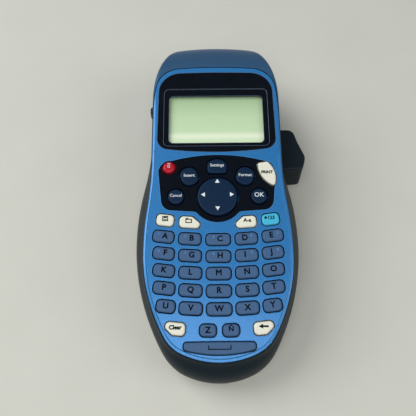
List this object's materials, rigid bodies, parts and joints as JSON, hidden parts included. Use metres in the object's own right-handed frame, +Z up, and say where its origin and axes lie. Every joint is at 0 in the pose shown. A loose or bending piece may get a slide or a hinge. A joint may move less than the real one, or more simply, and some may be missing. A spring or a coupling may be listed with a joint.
{
  "type": "label maker",
  "caption": "Handheld label maker with a small display, a letter keypad, a control panel round a four-way key, a hinged tape hood and a side lever that cuts the label.",
  "frame": {"origin": "centre of the flat rest face under the housing", "axes": "+Y towards the head with the display, +X to the cutter lever, +Z up through the front face"},
  "size_m": [0.1022, 0.2088, 0.0523],
  "materials": {
    "dark_plastic": "satin moulded ABS",
    "blue_paint": "metallic blue paint on ABS",
    "black_gloss": "glossy black acrylic",
    "lcd": "reflective liquid crystal display",
    "slate_rubber": "silicone rubber",
    "cream_key": "satin",
    "turquoise_key": "satin",
    "red_key": "gloss",
    "navy_key": "satin",
    "mat_rubber": "silicone rubber",
    "circuit_board": "satin",
    "cassette_plastic": "satin",
    "roller_rubber": "matte",
    "steel": "brushed",
    "cell_jacket": "printed jacket over cans",
    "gear_plastic": "satin"
  },
  "bodies": {
    "housing": {"rear_housing": "dark_plastic", "front_housing": "blue_paint", "control_panel": "black_gloss", "display_lens": "black_gloss", "lcd_module": "lcd", "keypad_mat": "mat_rubber", "main_board": "circuit_board", "tape_cassette": "cassette_plastic", "print_head": "steel", "drive_motor": "steel", "batteries": "cell_jacket"},
    "cassette_door": {"cassette_door": "blue_paint"},
    "battery_door": {"battery_door": "dark_plastic"},
    "cutter_lever": {"cutter_lever": "dark_plastic"},
    "cutter_blade": {"cutter_blade": "steel"},
    "tape_spool": {"tape_spool": "cassette_plastic"},
    "platen_roller": {"platen_roller": "roller_rubber"},
    "idler_gear": {"idler_gear": "gear_plastic"},
    "backspace": {"backspace": "cream_key"},
    "cancel": {"cancel": "navy_key"},
    "capitals": {"capitals": "cream_key"},
    "clear": {"clear": "cream_key"},
    "format": {"format": "navy_key"},
    "insert": {"insert": "navy_key"},
    "key_a": {"key_a": "slate_rubber"},
    "key_b": {"key_b": "slate_rubber"},
    "key_c": {"key_c": "slate_rubber"},
    "key_d": {"key_d": "slate_rubber"},
    "key_e": {"key_e": "slate_rubber"},
    "key_f": {"key_f": "slate_rubber"},
    "key_g": {"key_g": "slate_rubber"},
    "key_h": {"key_h": "slate_rubber"},
    "key_i": {"key_i": "slate_rubber"},
    "key_j": {"key_j": "slate_rubber"},
    "key_k": {"key_k": "slate_rubber"},
    "key_l": {"key_l": "slate_rubber"},
    "key_m": {"key_m": "slate_rubber"},
    "key_n": {"key_n": "slate_rubber"},
    "key_n_tilde": {"key_n_tilde": "slate_rubber"},
    "key_o": {"key_o": "slate_rubber"},
    "key_p": {"key_p": "slate_rubber"},
    "key_q": {"key_q": "slate_rubber"},
    "key_r": {"key_r": "slate_rubber"},
    "key_s": {"key_s": "slate_rubber"},
    "key_t": {"key_t": "slate_rubber"},
    "key_u": {"key_u": "slate_rubber"},
    "key_v": {"key_v": "slate_rubber"},
    "key_w": {"key_w": "slate_rubber"},
    "key_x": {"key_x": "slate_rubber"},
    "key_y": {"key_y": "slate_rubber"},
    "key_z": {"key_z": "slate_rubber"},
    "nav_pad": {"nav_pad": "navy_key"},
    "numbers": {"numbers": "turquoise_key"},
    "ok": {"ok": "navy_key"},
    "on_off": {"on_off": "red_key"},
    "print": {"print": "cream_key"},
    "recall": {"recall": "cream_key"},
    "save": {"save": "cream_key"},
    "settings": {"settings": "navy_key"},
    "space": {"space": "slate_rubber"}
  },
  "joints": [
    {"name": "backspace_press", "type": "slide", "parent": "housing", "child": "backspace", "axis": [0, 0.1736, -0.9848], "range_m": [0, 0.0012], "stiffness_N_per_m": 400},
    {"name": "cancel_press", "type": "slide", "parent": "housing", "child": "cancel", "axis": [0, 0.1736, -0.9848], "range_m": [0, 0.0012], "stiffness_N_per_m": 400},
    {"name": "capitals_press", "type": "slide", "parent": "housing", "child": "capitals", "axis": [0, 0.1736, -0.9848], "range_m": [0, 0.0012], "stiffness_N_per_m": 400},
    {"name": "clear_press", "type": "slide", "parent": "housing", "child": "clear", "axis": [0, 0.1736, -0.9848], "range_m": [0, 0.0012], "stiffness_N_per_m": 400},
    {"name": "format_press", "type": "slide", "parent": "housing", "child": "format", "axis": [0, 0.1736, -0.9848], "range_m": [0, 0.0012], "stiffness_N_per_m": 400},
    {"name": "insert_press", "type": "slide", "parent": "housing", "child": "insert", "axis": [0, 0.1736, -0.9848], "range_m": [0, 0.0012], "stiffness_N_per_m": 400},
    {"name": "key_a_press", "type": "slide", "parent": "housing", "child": "key_a", "axis": [0, 0.1736, -0.9848], "range_m": [0, 0.0012], "stiffness_N_per_m": 400},
    {"name": "key_b_press", "type": "slide", "parent": "housing", "child": "key_b", "axis": [0, 0.1736, -0.9848], "range_m": [0, 0.0012], "stiffness_N_per_m": 400},
    {"name": "key_c_press", "type": "slide", "parent": "housing", "child": "key_c", "axis": [0, 0.1736, -0.9848], "range_m": [0, 0.0012], "stiffness_N_per_m": 400},
    {"name": "key_d_press", "type": "slide", "parent": "housing", "child": "key_d", "axis": [0, 0.1736, -0.9848], "range_m": [0, 0.0012], "stiffness_N_per_m": 400},
    {"name": "key_e_press", "type": "slide", "parent": "housing", "child": "key_e", "axis": [0, 0.1736, -0.9848], "range_m": [0, 0.0012], "stiffness_N_per_m": 400},
    {"name": "key_f_press", "type": "slide", "parent": "housing", "child": "key_f", "axis": [0, 0.1736, -0.9848], "range_m": [0, 0.0012], "stiffness_N_per_m": 400},
    {"name": "key_g_press", "type": "slide", "parent": "housing", "child": "key_g", "axis": [0, 0.1736, -0.9848], "range_m": [0, 0.0012], "stiffness_N_per_m": 400},
    {"name": "key_h_press", "type": "slide", "parent": "housing", "child": "key_h", "axis": [0, 0.1736, -0.9848], "range_m": [0, 0.0012], "stiffness_N_per_m": 400},
    {"name": "key_i_press", "type": "slide", "parent": "housing", "child": "key_i", "axis": [0, 0.1736, -0.9848], "range_m": [0, 0.0012], "stiffness_N_per_m": 400},
    {"name": "key_j_press", "type": "slide", "parent": "housing", "child": "key_j", "axis": [0, 0.1736, -0.9848], "range_m": [0, 0.0012], "stiffness_N_per_m": 400},
    {"name": "key_k_press", "type": "slide", "parent": "housing", "child": "key_k", "axis": [0, 0.1736, -0.9848], "range_m": [0, 0.0012], "stiffness_N_per_m": 400},
    {"name": "key_l_press", "type": "slide", "parent": "housing", "child": "key_l", "axis": [0, 0.1736, -0.9848], "range_m": [0, 0.0012], "stiffness_N_per_m": 400},
    {"name": "key_m_press", "type": "slide", "parent": "housing", "child": "key_m", "axis": [0, 0.1736, -0.9848], "range_m": [0, 0.0012], "stiffness_N_per_m": 400},
    {"name": "key_n_press", "type": "slide", "parent": "housing", "child": "key_n", "axis": [0, 0.1736, -0.9848], "range_m": [0, 0.0012], "stiffness_N_per_m": 400},
    {"name": "key_n_tilde_press", "type": "slide", "parent": "housing", "child": "key_n_tilde", "axis": [0, 0.1736, -0.9848], "range_m": [0, 0.0012], "stiffness_N_per_m": 400},
    {"name": "key_o_press", "type": "slide", "parent": "housing", "child": "key_o", "axis": [0, 0.1736, -0.9848], "range_m": [0, 0.0012], "stiffness_N_per_m": 400},
    {"name": "key_p_press", "type": "slide", "parent": "housing", "child": "key_p", "axis": [0, 0.1736, -0.9848], "range_m": [0, 0.0012], "stiffness_N_per_m": 400},
    {"name": "key_q_press", "type": "slide", "parent": "housing", "child": "key_q", "axis": [0, 0.1736, -0.9848], "range_m": [0, 0.0012], "stiffness_N_per_m": 400},
    {"name": "key_r_press", "type": "slide", "parent": "housing", "child": "key_r", "axis": [0, 0.1736, -0.9848], "range_m": [0, 0.0012], "stiffness_N_per_m": 400},
    {"name": "key_s_press", "type": "slide", "parent": "housing", "child": "key_s", "axis": [0, 0.1736, -0.9848], "range_m": [0, 0.0012], "stiffness_N_per_m": 400},
    {"name": "key_t_press", "type": "slide", "parent": "housing", "child": "key_t", "axis": [0, 0.1736, -0.9848], "range_m": [0, 0.0012], "stiffness_N_per_m": 400},
    {"name": "key_u_press", "type": "slide", "parent": "housing", "child": "key_u", "axis": [0, 0.1736, -0.9848], "range_m": [0, 0.0012], "stiffness_N_per_m": 400},
    {"name": "key_v_press", "type": "slide", "parent": "housing", "child": "key_v", "axis": [0, 0.1736, -0.9848], "range_m": [0, 0.0012], "stiffness_N_per_m": 400},
    {"name": "key_w_press", "type": "slide", "parent": "housing", "child": "key_w", "axis": [0, 0.1736, -0.9848], "range_m": [0, 0.0012], "stiffness_N_per_m": 400},
    {"name": "key_x_press", "type": "slide", "parent": "housing", "child": "key_x", "axis": [0, 0.1736, -0.9848], "range_m": [0, 0.0012], "stiffness_N_per_m": 400},
    {"name": "key_y_press", "type": "slide", "parent": "housing", "child": "key_y", "axis": [0, 0.1736, -0.9848], "range_m": [0, 0.0012], "stiffness_N_per_m": 400},
    {"name": "key_z_press", "type": "slide", "parent": "housing", "child": "key_z", "axis": [0, 0.1736, -0.9848], "range_m": [0, 0.0012], "stiffness_N_per_m": 400},
    {"name": "nav_pad_press", "type": "slide", "parent": "housing", "child": "nav_pad", "axis": [0, 0.1736, -0.9848], "range_m": [0, 0.0012], "stiffness_N_per_m": 400},
    {"name": "numbers_press", "type": "slide", "parent": "housing", "child": "numbers", "axis": [0, 0.1736, -0.9848], "range_m": [0, 0.0012], "stiffness_N_per_m": 400},
    {"name": "ok_press", "type": "slide", "parent": "housing", "child": "ok", "axis": [0, 0.1736, -0.9848], "range_m": [0, 0.0012], "stiffness_N_per_m": 400},
    {"name": "on_off_press", "type": "slide", "parent": "housing", "child": "on_off", "axis": [0, 0.1736, -0.9848], "range_m": [0, 0.0012], "stiffness_N_per_m": 400},
    {"name": "print_press", "type": "slide", "parent": "housing", "child": "print", "axis": [0, 0.1736, -0.9848], "range_m": [0, 0.0012], "stiffness_N_per_m": 400},
    {"name": "recall_press", "type": "slide", "parent": "housing", "child": "recall", "axis": [0, 0.1736, -0.9848], "range_m": [0, 0.0012], "stiffness_N_per_m": 400},
    {"name": "save_press", "type": "slide", "parent": "housing", "child": "save", "axis": [0, 0.1736, -0.9848], "range_m": [0, 0.0012], "stiffness_N_per_m": 400},
    {"name": "settings_press", "type": "slide", "parent": "housing", "child": "settings", "axis": [0, 0.1736, -0.9848], "range_m": [0, 0.0012], "stiffness_N_per_m": 400},
    {"name": "space_press", "type": "slide", "parent": "housing", "child": "space", "axis": [0, 0.1736, -0.9848], "range_m": [0, 0.0012], "stiffness_N_per_m": 400},
    {"name": "cassette_door_hinge", "type": "hinge", "parent": "housing", "child": "cassette_door", "pos_m": [0, 0.1012, 0.005], "axis": [-1, 0, 0], "range_deg": [0, 75]},
    {"name": "battery_door_hinge", "type": "hinge", "parent": "housing", "child": "battery_door", "pos_m": [0, -0.0795, 0.001], "axis": [-1, 0, 0], "range_deg": [0, 40]},
    {"name": "cutter_lever_slide", "type": "slide", "parent": "housing", "child": "cutter_lever", "axis": [-1, 0, 0], "range_m": [0, 0.006], "stiffness_N_per_m": 300},
    {"name": "cutter_blade_slide", "type": "slide", "parent": "housing", "child": "cutter_blade", "axis": [0, 1, 0], "range_m": [0, 0.005]},
    {"name": "platen_roller_spin", "type": "hinge", "parent": "housing", "child": "platen_roller", "pos_m": [-0.027, 0.05, 0.02], "axis": [0, 0, 1], "continuous": true},
    {"name": "idler_gear_spin", "type": "hinge", "parent": "housing", "child": "idler_gear", "pos_m": [-0.0121, 0.05, 0.0055], "axis": [0, 0, 1], "continuous": true},
    {"name": "tape_spool_spin", "type": "hinge", "parent": "housing", "child": "tape_spool", "pos_m": [0.011, 0.073, 0.02], "axis": [0, 0, 1], "continuous": true}
  ],
  "couplings": [
    {"joint": "cutter_blade_slide", "follows": "cutter_lever_slide", "ratio": 0.83333},
    {"joint": "idler_gear_spin", "follows": "platen_roller_spin", "ratio": -0.62222},
    {"joint": "tape_spool_spin", "follows": "platen_roller_spin", "ratio": -0.57143}
  ]
}
